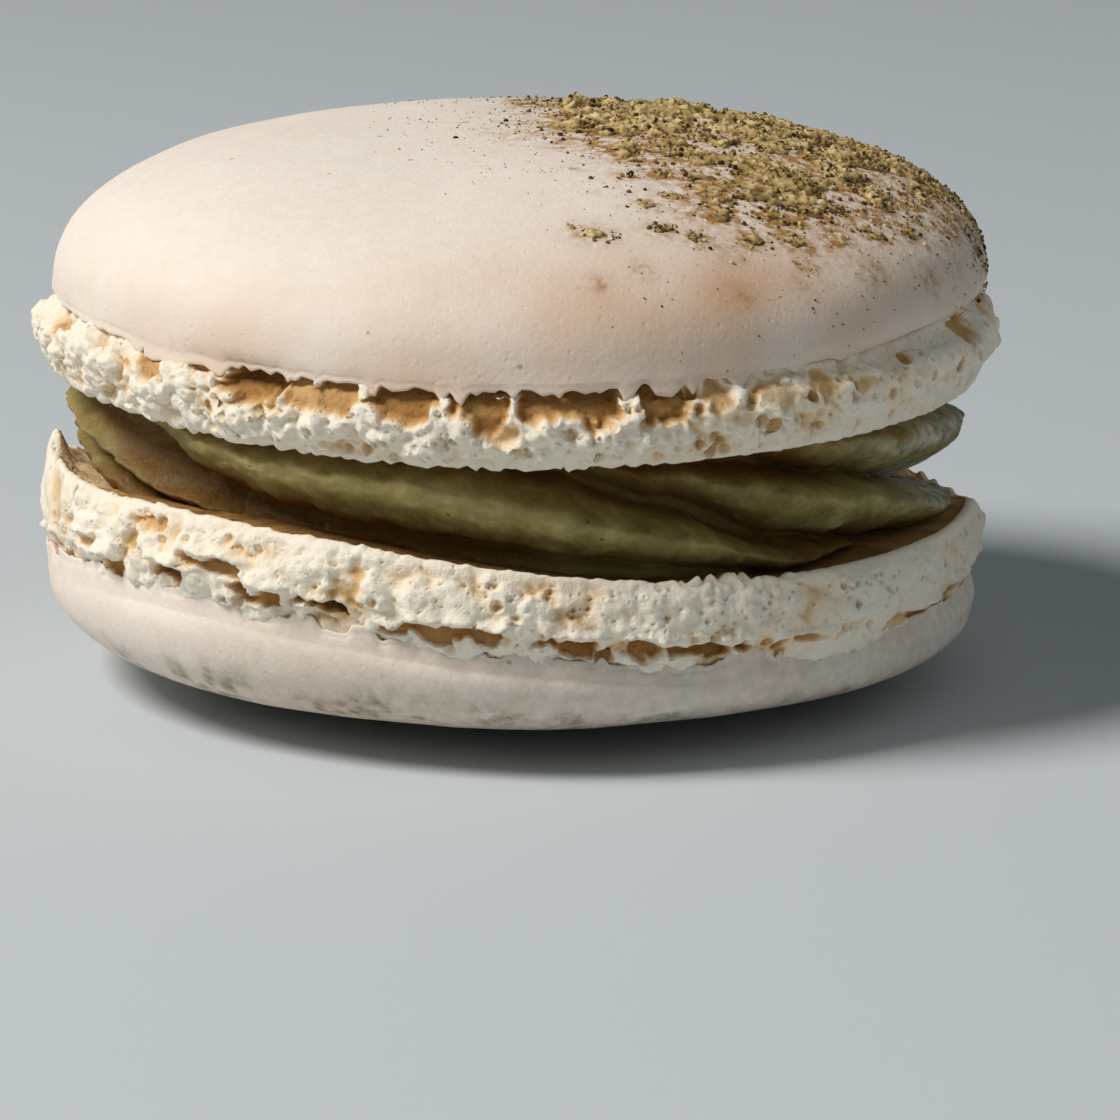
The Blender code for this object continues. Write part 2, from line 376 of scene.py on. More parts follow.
def makeFoamFinish():
    material, tree, surface = startFinish("bakedFoam", 0.8, scatter=0.15, scatterDepth=0.35)
    # hollow brings the golden colour of the inner crumb in torn hollows and bubbles, deepened with painted shade in the
    # deeper ones, in the creases and on the face under the cream.
    hollow = shadeOf(tree, "hollow")
    uneven = placeGroup(tree, mottle, Clouds_per_metre=700.0, Contrast=0.5)
    depth = sumNode(tree, "ADD", hollow, sumNode(tree, "MULTIPLY", sumNode(tree, "SUBTRACT", uneven, 0.5), 0.5), clamp=True)
    colour = ramp(tree, depth, [(0.0, tone(251, 240, 221)), (1.0, tone(100, 72, 38)), (0.24, tone(246, 225, 194)), (0.48, tone(220, 180, 124)), (0.76, tone(184, 136, 74))])
    fine = placeGroup(tree, specks, Cells_per_metre=500.0, Dot_size=0.08, Share=0.3)
    colour = blend(tree, sumNode(tree, "MULTIPLY", fine, 0.6), colour, tone(110, 84, 52))
    tree.links.new(colour, surface.inputs["Base Color"])
    giveBump(tree, surface, placeGroup(tree, grain, Grains_per_metre=4200.0, Pores=1.0), 0.9, 0.11)
    return material


def makeCreamFinish():
    material, tree, surface = startFinish("pistachioCream", 0.52, scatter=0.12, scatterDepth=0.8)
    clouds = placeGroup(tree, mottle, Clouds_per_metre=640.0, Contrast=2.3)
    colour = ramp(tree, clouds, [(0.0, tone(112, 98, 50)), (1.0, tone(178, 164, 106)), (0.5, tone(142, 129, 74))])
    # Painted highlight: the outermost ridges on the left, facing the key light, are coloured lighter.
    colour = blend(tree, sumNode(tree, "MULTIPLY", shadeOf(tree, "paintedCrestHighlight"), 0.6), colour, tone(196, 175, 112))
    # Browner cream on the far left, and painted shade in recesses: where the cream is set back, between ropes and
    # towards the bottom.
    colour = blend(tree, shadeOf(tree, "brownAndPaintedShade"), colour, tone(116, 84, 35))
    dry = placeGroup(tree, mottle, Clouds_per_metre=1400.0, Contrast=5.0)
    colour = blend(tree, sumNode(tree, "MULTIPLY", shadeOf(tree, "dry"), dry), colour, tone(204, 206, 194))
    pale = placeGroup(tree, specks, Cells_per_metre=1100.0, Dot_size=0.2, Share=0.3)
    colour = blend(tree, sumNode(tree, "MULTIPLY", pale, 0.3), colour, tone(186, 176, 128))
    dark = placeGroup(tree, specks, Cells_per_metre=1500.0, Dot_size=0.14, Share=0.22)
    colour = blend(tree, sumNode(tree, "MULTIPLY", dark, 0.65), colour, tone(62, 54, 26))
    tree.links.new(colour, surface.inputs["Base Color"])
    giveBump(tree, surface, placeGroup(tree, grain, Grains_per_metre=2600.0, Pores=0.6), 0.8, 0.12)
    return material


def makePowderFinish():
    material, tree, surface = startFinish("greenTeaPowder", 0.92)
    clouds = placeGroup(tree, mottle, Clouds_per_metre=1800.0, Contrast=1.6)
    # Random tint of the powder, with painted shade on the heaps: darker in the crevices between crumbs and lighter on
    # their tops.
    depth = sumNode(tree, "ADD", shadeOf(tree, "tintAndCreviceShade"), sumNode(tree, "SUBTRACT", clouds, 0.5), clamp=True)
    stops = [(0.0, tone(56, 38, 16)), (1.0, tone(228, 206, 154)), (0.3, tone(120, 94, 48)), (0.65, tone(188, 160, 104))]
    tree.links.new(ramp(tree, depth, stops), surface.inputs["Base Color"])
    giveBump(tree, surface, placeGroup(tree, grain, Grains_per_metre=7000.0, Pores=0.4), 0.6, 0.06)
    return material


skinFinish, foamFinish = makeSkinFinish(), makeFoamFinish()
creamFinish, powderFinish = makeCreamFinish(), makePowderFinish()
print("finishes made")


# ---- crowns: the smooth baked skins with a torn lower edge

# each tear: azimuth in degrees, height over the face, half width, half height and depth of the hollow behind it
upperTears = [
    (-73.0, 2.6, 0.6, 0.5, 0.5), (-47.4, 3.0, 0.9, 0.9, 0.9), (-31.6, 3.1, 1.75, 1.2, 1.6), (-25.4, 3.0, 0.8, 1.0, 0.8),
    (-20.4, 3.1, 1.25, 0.95, 1.1), (-12.6, 3.1, 1.5, 1.25, 1.6), (-4.2, 3.1, 1.5, 1.05, 1.4), (-1.0, 1.7, 0.9, 0.5, 0.5),
    (2.6, 3.1, 1.0, 1.05, 1.3), (8.6, 3.1, 1.5, 1.15, 1.5), (16.9, 3.1, 1.3, 1.25, 1.1), (23.6, 3.0, 0.8, 1.1, 0.5),
    (31.1, 2.6, 1.2, 0.7, 0.38), (38.5, 2.9, 1.1, 0.6, 0.38), (44.5, 2.5, 0.9, 0.5, 0.3), (27.0, 1.9, 0.9, 0.4, 0.3),
]
lowerTears = [
    (-62.0, 2.4, 1.6, 0.3, 0.5), (-56.0, 3.2, 0.9, 0.45, 1.2), (-51.0, 2.0, 0.7, 0.8, 0.4), (-47.0, 0.9, 0.8, 0.4, 0.5),
    (-43.6, 2.9, 1.2, 0.42, 1.3), (-36.0, 2.1, 1.3, 0.3, 1.0), (-33.5, 1.2, 0.9, 0.4, 0.35), (-29.9, 3.0, 1.4, 0.42, 1.3),
    (-19.5, 1.5, 1.1, 0.8, 0.5), (-21.0, 3.0, 0.8, 0.28, 1.0), (-13.5, 3.4, 0.8, 0.25, 0.9), (-8.3, 3.15, 1.2, 0.4, 1.2),
    (-3.2, 3.0, 1.1, 0.36, 1.2), (7.6, 3.2, 1.2, 0.4, 1.1), (13.4, 2.9, 0.9, 0.5, 0.35), (15.6, 3.1, 1.0, 0.42, 1.2),
    (22.3, 3.1, 1.6, 0.4, 1.2), (32.8, 3.2, 0.3, 0.4, 0.6), (37.3, 2.9, 1.3, 0.2, 0.5),
]


def scatterTears(tears, clearFrom, clearTo, count, seed):  # more of them round the sides and back, out of the same range
    dice = random.Random(seed)
    more = []
    for index in range(count):
        share = (index + dice.uniform(0.1, 0.9)) / count
        azimuth = clearFrom + share * (clearTo - clearFrom)
        level, halfWidth, halfHeight, depth = dice.choice(tears)[1:]
        size = dice.uniform(0.6, 1.1)
        more.append((azimuth, level, halfWidth * size, halfHeight * size, depth * dice.uniform(0.3, 0.8)))
    return tears + more


upperTears = scatterTears(upperTears, 50.0, 278.0, 26, 11)
lowerTears = scatterTears(lowerTears, 50.0, 288.0, 28, 12)


def upperEdgeLine(azimuth):  # the skin comes lowest at the front left
    return 3.2 + np.minimum(0.75, 1.1 * (1.0 - np.cos(arcFrom(azimuth, -15.0))))


def lowerEdgeLine(azimuth):
    return 3.55 + 0.15 * np.cos(2.0 * azimuth + 0.5)


def domeOutline(shell, spacing):  # rows from the middle of the crown to where its side is upright
    angles = np.radians(np.linspace(90.0, 0.0, 600))
    radius = shell["crownRadius"] * np.cos(angles) ** shell["sideRoundness"]
    radius[0] = 0.0
    rise = shell["crownHeight"] - shell["crownSpring"]
    height = shell["crownSpring"] + rise * np.sin(angles) ** shell["topFlatness"]
    run = np.concatenate(([0.0], np.cumsum(np.hypot(np.diff(radius), np.diff(height)))))
    rows = np.linspace(0.0, run[-1], round(run[-1] / spacing))
    return np.stack((np.interp(rows, run, radius), np.interp(rows, run, height)), axis=1)


def skinSwell(points, shell, relief):  # how far the crown's skin swells at each point, along its normal
    swell = crownSwell["depth"] * noiseAt(points, crownSwell["size"], shell["seed"])
    swell += relief["dentDepth"] * noiseAt(points, relief["dentSize"], shell["seed"] + 20)
    swell += relief["rippleDepth"] * noiseAt(points, relief["rippleSize"], shell["seed"] + 21)
    return swell


def raggedLine(azimuth, least, most, seed):  # a torn zigzag round the shell, between -1 and 1
    dice = random.Random(seed)
    steps = [0.0]
    while steps[-1] < 1.0:
        steps.append(steps[-1] + dice.uniform(least, most) / 135.0)
    lengths = [dice.uniform(-1.0, 1.0) for _ in steps]
    lengths[-1] = lengths[0]
    return np.interp(azimuth % math.tau, np.array(steps) * math.tau / steps[-1], lengths)


def edgeHang(azimuth, tears, radius, crown):  # how far the torn skin hangs past its line, at each azimuth
    clear = np.full(len(azimuth), 99.0)  # distance to the nearest tear's side, and how deep that tear is
    deepest = np.zeros(len(azimuth))
    for at, level, halfWidth, halfHeight, depth in tears:
        if level + halfHeight > crown["tearsReach"]:
            away = np.abs(arcFrom(azimuth, at)) * radius
            clear = np.minimum(clear, away - 0.85 * halfWidth)
            deepest = np.maximum(deepest, depth * (away < halfWidth))
    flap = np.clip(clear * crown["flapSlope"], -0.12, crown["flapLength"])
    flap = np.where(clear > 0.0, flap * (1.0 - smoothBetween(0.5, 1.6, clear) * 0.6), flap)
    torn = smoothBetween(0.2, 1.0, deepest)
    flap += crown["raggedness"] * (0.35 + 0.65 * torn) * raggedLine(azimuth, 0.15, 0.6, crown["seed"])
    flap += crown["teeth"] * torn * np.maximum(raggedLine(azimuth, 0.4, 1.3, crown["seed"] + 1) - 0.35, 0.0)
    calmAt, calm = np.array(crown["edgeCalm"]).T
    return flap * (1.0 - np.interp(np.degrees(azimuth), calmAt, calm, period=360.0))


def addCrown(name, shell, tears, edgeLine, crown, node):
    edge = crown["edgeAt"]
    outer = shell["crownRadius"]
    dome = domeOutline(shell, crown["rowSpacing"])
    thick = crown["skinThickness"]
    lip = evenOutline([
        (outer, shell["crownSpring"], 1.0),
        (outer - 0.04, 0.5 * (edge + shell["crownSpring"]), 1.0),
        (outer - 0.12, edge + 0.1, 0.8),
        (outer - 0.12 - 0.3 * thick, edge - 0.02, 0.8),
        (outer - 0.12 - thick, edge + 0.12, 1.0),
        (outer - 0.5 - thick, edge + 0.4, 3.0),
        (outer - 1.6, edge + 0.9, 9.0),
        (0.0, edge + 0.9, 60.0),
    ], crown["lipSpacing"])
    outline = np.concatenate((dome, lip[1:]))
    mesh = turnedForm(name, outline, crown["steps"], crown["cuts"])
    form = readForm(mesh, outline)
    points, normals, height = form["points"], form["normals"], form["height"]
    onDome = smoothBetween(edge, shell["crownSpring"] + 0.3, height) * (normals[:, 2] > -0.05)
    points += normals * (onDome * skinSwell(points, shell, crown))[:, None]

    azimuth = form["azimuth"]
    level = np.stack((np.sin(azimuth), -np.cos(azimuth)), axis=1)
    lipShare = (1.0 - smoothBetween(edge, shell["crownSpring"] + 0.35, height)) * (form["radius"] > outer - 1.3)
    wave = crown["edgeWave"] * noiseAt(points, 4.6, shell["seed"] + 3)
    lineDrop = edge - edgeLine(azimuth) - wave
    hang = edgeHang(azimuth, tears, outer, crown)
    points[:, 2] -= lipShare * lineDrop + lipShare ** 2 * hang
    lean = crown["flapLean"] * np.maximum(hang, 0.0) * lipShare ** 4 + 0.5 * np.maximum(lineDrop, 0.0) * lipShare
    points[:, :2] += level * lean[:, None]
    points[:, :2] += level * (crown["lipWaver"] * noiseAt(points, 1.6, shell["seed"] + 4) * lipShare)[:, None]
    crease = np.exp(-((height - edge - crown["creaseAt"]) / crown["creaseWidth"]) ** 2) * (normals[:, 0] ** 2 + normals[:, 1] ** 2 > 0.5)
    points[:, :2] -= level * (crease * crown["creaseDepth"])[:, None]

    insetAt, inset = np.array(crown["edgeInset"]).T
    points[:, :2] -= level * (lipShare * np.interp(np.degrees(azimuth), insetAt, inset, period=360.0))[:, None]

    keepShade(mesh, "blushAndWarmShade", crown["blushAndWarmShade"](form, points))
    keepShade(mesh, "dust", crown["dust"](form, points))
    keepShade(mesh, "smudgeAndPaintedShade", crown["smudgeAndPaintedShade"](form, points))
    points = setInPlace(points, shell)
    return finishPiece(mesh, points, skinFinish, node, flip=shell["turnedOver"])


# where the powder was tipped, on the crown unrolled flat from its top: x is to the right and y to the back
dusting = {
    "edges": [(0.6, 4.0, 0.0), (4.6, -7.2, 36.0), (10.0, -13.2, 90.0), (16.0, -9.2, 134.0), (8.0, 12.0, -90.0)],  # x, y, way in
    "lowestAt": 24.5,  # how far down the side it reaches
    "fadeOut": 3.6,
    "fadeIn": 4.2,
    "smears": [  # x, y, radius and strength of the brown marks that rubbed powder left
        (9.5, -16.3, 0.8, 0.9), (13.0, -16.5, 0.7, 0.6), (16.2, -13.4, 1.1, 0.8), (14.0, -12.6, 0.8, 0.8), (11.8, -14.2, 0.8, 0.7),
        (5.5, -18.6, 0.6, 0.5), (3.6, -19.8, 0.6, 0.5), (19.5, -10.5, 0.9, 0.7), (17.0, -7.2, 1.2, 0.8), (15.6, -7.3, 0.9, 0.8),
        (7.4, -13.4, 1.1, 0.7), (3.4, -16.3, 1.1, 0.7), (6.2, -15.3, 0.9, 0.7), (8.1, -15.5, 0.9, 0.8), (10.4, -18.4, 0.6, 0.5),
    ],
}


def dustInside(flat):  # how far inside the powder's edges each place is
    inside = dusting["lowestAt"] - np.hypot(flat[:, 0], flat[:, 1])
    for x, y, wayIn in dusting["edges"]:
        turn = math.radians(wayIn)
        inside = np.minimum(inside, (flat[:, 0] - x) * math.cos(turn) + (flat[:, 1] - y) * math.sin(turn))
    return inside


def dustiness(flat, widen=0.0):  # 1 where the powder was tipped, 0 where the crown is clean
    return smoothBetween(-dusting["fadeOut"] - widen, dusting["fadeIn"], dustInside(flat))


heaps = {
    "middle": (9.5, -2.0),  # of the patch that is searched for heaps
    "halfSpan": 18.5,
    "cells": 400,
    "cover": 1.3,
    "bare": 0.9,
    "patches": [(2.4, 0.75, 3), (1.0, 0.95, 4), (0.45, 0.6, 5)],  # size, strength and seed
    "height": 0.27,
    "thinFrom": 15.0,  # how far down the side the heaps begin to thin
    "steepness": 0.35,
    "lumps": [(0.6, 0.35, 6), (0.32, 0.35, 7)],  # size, height and seed
    "crumbs": [(0.8, 0.55, 14), (0.42, 0.5, 15), (0.24, 0.4, 16)],
    "sunk": 0.05,
    "underside": 0.15,
    "seed": 61,
    "gaps": [(10.6, -3.4, 0.8), (12.4, -4.0, 0.8), (14.6, -7.4, 1.1), (16.5, -3.0, 0.8), (8.3, -7.6, 0.7)],  # x, y and radius
    "strays": [  # x, y and radius of small heaps lying apart
        (2.0, -5.4, 0.35), (3.3, -12.0, 0.35), (3.3, -16.4, 0.8), (4.2, -16.6, 0.6), (2.4, -16.0, 0.45), (4.6, -13.5, 0.4),
        (5.7, -13.1, 0.75), (6.4, -15.2, 0.8), (8.0, -15.6, 0.8), (-3.8, 1.1, 0.22), (-2.6, 1.0, 0.3), (2.6, -9.0, 0.3),
        (10.5, -14.6, 0.9), (12.4, -13.8, 0.9), (4.9, -9.9, 0.5), (0.7, -7.6, 0.2), (-1.8, -9.4, 0.25), (14.5, -12.2, 0.9),
        (0.9, -12.4, 0.2), (-0.9, -3.4, 0.2), (9.0, -13.2, 0.9), (7.0, -11.6, 0.7), (16.2, -10.5, 0.9), (18.0, -8.6, 0.8),
        (13.2, -15.4, 0.6), (11.6, -12.2, 1.0),
    ],
}


def flatPoints(flat):
    return np.column_stack((flat, np.zeros(len(flat))))


def powderCover(flat):  # above 0 where powder lies in heaps
    thick = dustiness(flat)
    cover = heaps["cover"] * thick - heaps["bare"]
    for size, strength, seed in heaps["patches"]:
        cover += strength * (0.3 + 0.7 * thick) * noiseAt(flatPoints(flat), size, heaps["seed"] + seed)
    for x, y, radius in heaps["gaps"]:
        cover -= 1.1 * np.exp(-(np.hypot(flat[:, 0] - x, flat[:, 1] - y) / radius) ** 2)
    lump = 0.25 * noiseAt(flatPoints(flat), 0.5, heaps["seed"] + 9)
    for x, y, radius in heaps["strays"]:
        away = np.hypot(flat[:, 0] - x, 1.2 * (flat[:, 1] - y)) / radius
        cover = np.maximum(cover, 0.3 - 0.5 * away ** 2 + lump)
    return cover


def unrolled(form, outline):
    run = np.concatenate(([0.0], np.cumsum(np.hypot(*np.diff(outline, axis=0).T))))
    order = np.argsort(outline[:, 1])
    along = np.interp(form["height"], outline[order, 1], run[order])
    return np.stack((along * np.sin(form["azimuth"]), -along * np.cos(form["azimuth"])), axis=1)


def upperDust(form, points):  # brown where powder was rubbed in: round the heaps, over the whole right side, and in smears
    flat = unrolled(form, domeOutline(upperShell, 0.3))
    marks = 0.55 * dustiness(flat, 2.2)
    marks = np.maximum(marks, 1.2 * smoothBetween(-0.7, -0.05, powderCover(flat)) * dustiness(flat, 1.5) ** 0.5)
    for x, y, radius, strength in dusting["smears"]:
        away = np.hypot(flat[:, 0] - x, flat[:, 1] - y) / radius
        marks = np.maximum(marks, 0.75 * strength * np.exp(-away ** 2))
    return marks * (0.8 + 0.7 * noiseAt(points, 1.4, 51))


# A pink blush at the front right, and painted warm shade: a warm tint over the low front band that stands in for light
# bounced and scattered into it.
def upperBlushAndWarmShade(form, points):
    toward = np.exp(-(arcFrom(form["azimuth"], 24.0) / 0.5) ** 2) * np.exp(-((form["height"] - 7.2) / 1.8) ** 2)
    low = 0.6 * (1.0 - smoothBetween(3.5, 9.0, form["height"])) * smoothBetween(1.9, 0.6, np.abs(arcFrom(form["azimuth"], 10.0)))
    return (0.9 * toward + 0.85 * low) * (0.8 + 0.6 * noiseAt(points, 4.0, 52))


def lowerDust(form, points):
    return np.zeros(len(points))


def noSmudge(form, points):
    return np.zeros(len(points))


def lowerSmudgeAndShade(form, points):  # faint green marks low down at the front, on an even olive painted shade over the low front band and the front right side
    low = smoothBetween(5.4, 7.4, form["height"]) * smoothBetween(-0.2, 0.7, np.cos(form["azimuth"] - 0.15))
    marks = low * (0.3 + 1.6 * smoothBetween(0.0, 0.4, noiseAt(points, 1.9, 53) + 0.45 * noiseAt(points, 0.7, 55)))
    return marks + 0.3 * smoothBetween(-0.2, 1.0, np.cos(form["azimuth"] - 0.7))


def lowerBlush(form, points):
    return 0.1 + 0.15 * noiseAt(points, 6.0, 54)


upperCrown = {
    "seed": 31,
    "steps": 130,
    "cuts": 7,
    "edgeAt": 3.5,
    "rowSpacing": 0.45,
    "lipSpacing": 0.09,
    "skinThickness": 0.13,
    "dentDepth": 0.05,
    "dentSize": 4.0,
    "rippleDepth": 0.012,
    "rippleSize": 1.3,
    "edgeWave": 0.12,
    "raggedness": 0.16,
    "teeth": 1.15,
    "tearsReach": 3.2,
    "flapSlope": 1.3,
    "flapLength": 0.45,
    "flapLean": 0.4,
    "lipWaver": 0.1,
    "creaseAt": 0.30,
    "creaseWidth": 0.07,
    "creaseDepth": 0.07,
    "edgeInset": [(22.0, 0.0), (36.0, 0.22), (60.0, 0.34), (90.0, 0.3), (120.0, 0.0)],  # azimuth, how far the foam laps over
    "edgeCalm": [(22.0, 0.0), (36.0, 0.6), (60.0, 0.85), (95.0, 0.7), (120.0, 0.0)],  # azimuth, how far the tearing is calmed
    "blushAndWarmShade": upperBlushAndWarmShade,
    "dust": upperDust,
    "smudgeAndPaintedShade": noSmudge,
}
lowerCrown = dict(
    upperCrown, seed=32, edgeAt=3.6, edgeWave=0.2, tearsReach=3.0, teeth=0.5, flapLength=0.35, flapLean=0.4,
    creaseDepth=0.03, edgeInset=[(20.0, 0.0), (40.0, 0.35), (100.0, 0.4), (140.0, 0.1)], edgeCalm=[(25.0, 0.0), (45.0, 0.7), (140.0, 0.5), (170.0, 0.0)],
    blushAndWarmShade=lowerBlush, dust=lowerDust, smudgeAndPaintedShade=lowerSmudgeAndShade,
)

addCrown("upperCrown", upperShell, upperTears, upperEdgeLine, upperCrown, "upper_shell")
addCrown("lowerCrown", lowerShell, lowerTears, lowerEdgeLine, lowerCrown, "lower_shell")
print("crowns made")


# ---- feet: the risen foam under each skin, torn and full of bubbles

def tearDepths(form, tears, foam):  # how deep the torn hollows are at each point, and how the foam swells beside them
    points = form["points"]
    ragged = foam["tearRag"] * (noiseAt(points, 1.1, foam["seed"] + 1) + 0.8 * noiseAt(points, 0.5, foam["seed"] + 2))
    depth = np.zeros(len(form["height"]))
    brow = np.zeros(len(form["height"]))
    for at, level, halfWidth, halfHeight, deep in tears:
        across = arcFrom(form["azimuth"], at) * foam["radius"] / halfWidth
        up = (form["height"] - level) / halfHeight
        reach = np.hypot(across, up) + ragged
        innerEdge = 0.75 if deep > foam["crispFrom"] else 0.3
        slant = 1.0 - foam["tearSlant"] * (0.4 + 0.6 * np.clip(up, -1.0, 1.0))  # deepest under the brow
        depth = np.maximum(depth, deep * slant * (1.0 - smoothBetween(innerEdge, 1.1, reach)))
        beside = np.exp(-((up + 1.6) / 0.55) ** 2) * (1.0 - smoothBetween(0.8, 1.4, np.abs(across)))
        brow = np.maximum(brow, min(deep, 1.0) * beside)
    return foam["tearSink"] * depth, brow


def openBubbles(points, normals, places, radii, sink):  # pushes the skin of the foam out to the walls of round bubbles
    tree = kdtree.KDTree(len(points))
    for index, point in enumerate(points):
        tree.insert(point, index)
    tree.balance()
    pushed = np.zeros(len(points))
    for place, radius in zip(places, radii):
        near = np.array([index for _, index, _ in tree.find_range(points[place], 2.4 * radius)])
        mouth = points[place] + normals[place] * radius * (1.0 - sink)
        for centre, size in ((mouth, radius), (mouth - normals[place] * radius * 0.8, 0.75 * radius)):
            away = points[near] - centre
            length = np.linalg.norm(away, axis=1)
            inside = near[length < size]
            away, length = away[length < size], length[length < size]
            points[inside] = centre + away * (size / np.maximum(length, 0.05 * size))[:, None]
            pushed[inside] += (size - length) / 0.7
    return pushed


def foamLumps(points, foam):  # knobs of three sizes, bent so that no two look alike
    bend = np.stack([noiseAt(points, 1.3, foam["seed"] + 10 + axis) for axis in range(3)], axis=1)
    bent = points + foam["bend"] * bend
    lumps = np.zeros(len(points))
    for depth, size, seed in foam["knobs"]:
        lumps += depth * (lumpsAt(bent, size, foam["seed"] + seed) - 0.55)
    return lumps


def addFoot(name, shell, corners, tears, foam, node):
    outline = evenOutline(corners, foam["rowSpacing"])
    mesh = turnedForm(name, outline, foam["steps"], foam["cuts"])
    form = readForm(mesh, outline)
    points, normals, height = form["points"], form["normals"], form["height"]
    rim = shell["rimRadius"]
    onSide = smoothBetween(rim - 1.6, rim - 0.4, form["radius"])
    onSide *= 0.15 + 0.85 * smoothBetween(0.0, 0.7, height)
    rough = foam["calm"] + (1.0 - foam["calm"]) * (0.5 + 0.5 * np.cos(arcFrom(form["azimuth"], foam["roughestAt"])))
    rough *= 0.9 + 0.5 * noiseAt(points, 4.0, foam["seed"] + 8)

    rough *= 1.0 - 0.65 * np.exp(-(arcFrom(form["azimuth"], foam["smoothestAt"]) / 0.6) ** 2)
    tear, brow = tearDepths(form, tears, foam)
    torn = smoothBetween(0.0, 0.35, tear)
    ruffle = foam["ruffleDepth"] * noiseAt(points, foam["ruffleSize"], foam["seed"] + 3)
    crumb = foam["crumbDepth"] * noiseAt(points, foam["crumbSize"], foam["seed"] + 6)
    lumps = foamLumps(points, foam)
    lift = ruffle + (1.0 - 0.85 * torn) * rough * lumps + (1.0 - 0.5 * torn) * rough * crumb
    lift += foam["browDepth"] * brow * (1.0 - torn) * (0.7 + lumps)
    slide = np.stack([noiseAt(points, 0.7, foam["seed"] + 13 + axis) for axis in range(3)], axis=1)
    points += normals * (onSide * lift)[:, None] + slide * (foam["slide"] * onSide * rough * (1.0 - torn))[:, None]
    level = np.stack((np.sin(form["azimuth"]), -np.cos(form["azimuth"])), axis=1)
    pulledAt, pulled = np.array(foam["pulledIn"]).T
    pulled = np.interp(np.degrees(form["azimuth"]), pulledAt, pulled, period=360.0) * (0.3 + 0.7 * smoothBetween(0.8, 2.2, height))
    points[:, :2] -= level * (onSide * (tear + pulled))[:, None]

    dice = random.Random(foam["seed"])
    able = np.flatnonzero((onSide > 0.5) & (torn < 0.3) & (height > 0.3) & (height < shell["skinEdge"]))
    # Torn hollows and opened bubbles are coloured golden to brown: the inner crumb's colour, deepened with painted
    # shade the deeper they go.
    hollow = 1.0 - np.exp(-tear / 0.4)
    for count, least, most, sink in foam["bubbles"]:
        places = [able[dice.randrange(len(able))] for _ in range(count)]
        radii = [least + (most - least) * dice.random() ** 2 for _ in range(count)]
        hollow = np.maximum(hollow, onSide * openBubbles(points, normals, places, radii, sink))
    # Painted shade: the foam is coloured darker where its surface sinks into the creases between the lumps.
    low = smoothBetween(0.1, -0.4, onSide * lift) * foam["paintedCreaseShade"]
    nearRim = np.exp(-((form["radius"] - rim + 0.1) / 0.4) ** 2) * (height < 0.7)
    serrated = 0.25 + 0.75 * smoothBetween(1.1, 0.5, np.abs(arcFrom(form["azimuth"], -30.0)))
    points[:, 2] -= nearRim * serrated * foam["serration"] * raggedLine(form["azimuth"], 0.12, 0.5, foam["seed"] + 7)
    riseAt, rise = np.array(foam["rimRise"]).T
    raised = np.interp(np.degrees(form["azimuth"]), riseAt, rise, period=360.0)
    raised *= smoothBetween(1.8, 0.1, height) * np.clip((form["radius"] - rim + foam["rimSlope"]) / (foam["rimSlope"] - 0.2), 0.0, 1.0)
    points[:, 2] -= raised * (1.0 + 0.5 * noiseAt(points, 0.8, foam["seed"] + 9))
    points[:, :2] -= level * (foam["rimLean"] * raised)[:, None]
    crumbled = np.exp(-(arcFrom(form["azimuth"], foam["crumbledAt"]) / 0.16) ** 2) * smoothBetween(0.9, 0.1, height)
    crumbled *= smoothBetween(rim - 1.3, rim - 0.4, form["radius"])
    points += normals * (foam["crumbled"] * crumbled * noiseAt(points, 0.42, foam["seed"] + 16))[:, None]
    onFace = (height < 0.6) & (form["radius"] < rim - 0.3)
    # The flat face's colour: its baked tan, darkened with painted shade where it lies under the cream at the front and
    # right.
    faceAt, faceBrownAndShade = np.array(foam["faceBrownAndShade"]).T
    faceBrownAndShade = np.interp(np.degrees(form["azimuth"]), faceAt, faceBrownAndShade, period=360.0)
    blotch = noiseAt(points, 1.3, foam["seed"] + 17) + 0.6 * noiseAt(points, 0.45, foam["seed"] + 18)
    points[:, 2] -= onFace * foam["faceBumps"] * blotch * smoothBetween(rim - 0.3, rim - 0.9, form["radius"])
    keepShade(mesh, "hollow", np.where(onFace, faceBrownAndShade + 0.2 * blotch, 0.8 * (hollow + low)))
    points = setInPlace(points, shell)
    return finishPiece(mesh, points, foamFinish, node, flip=shell["turnedOver"])


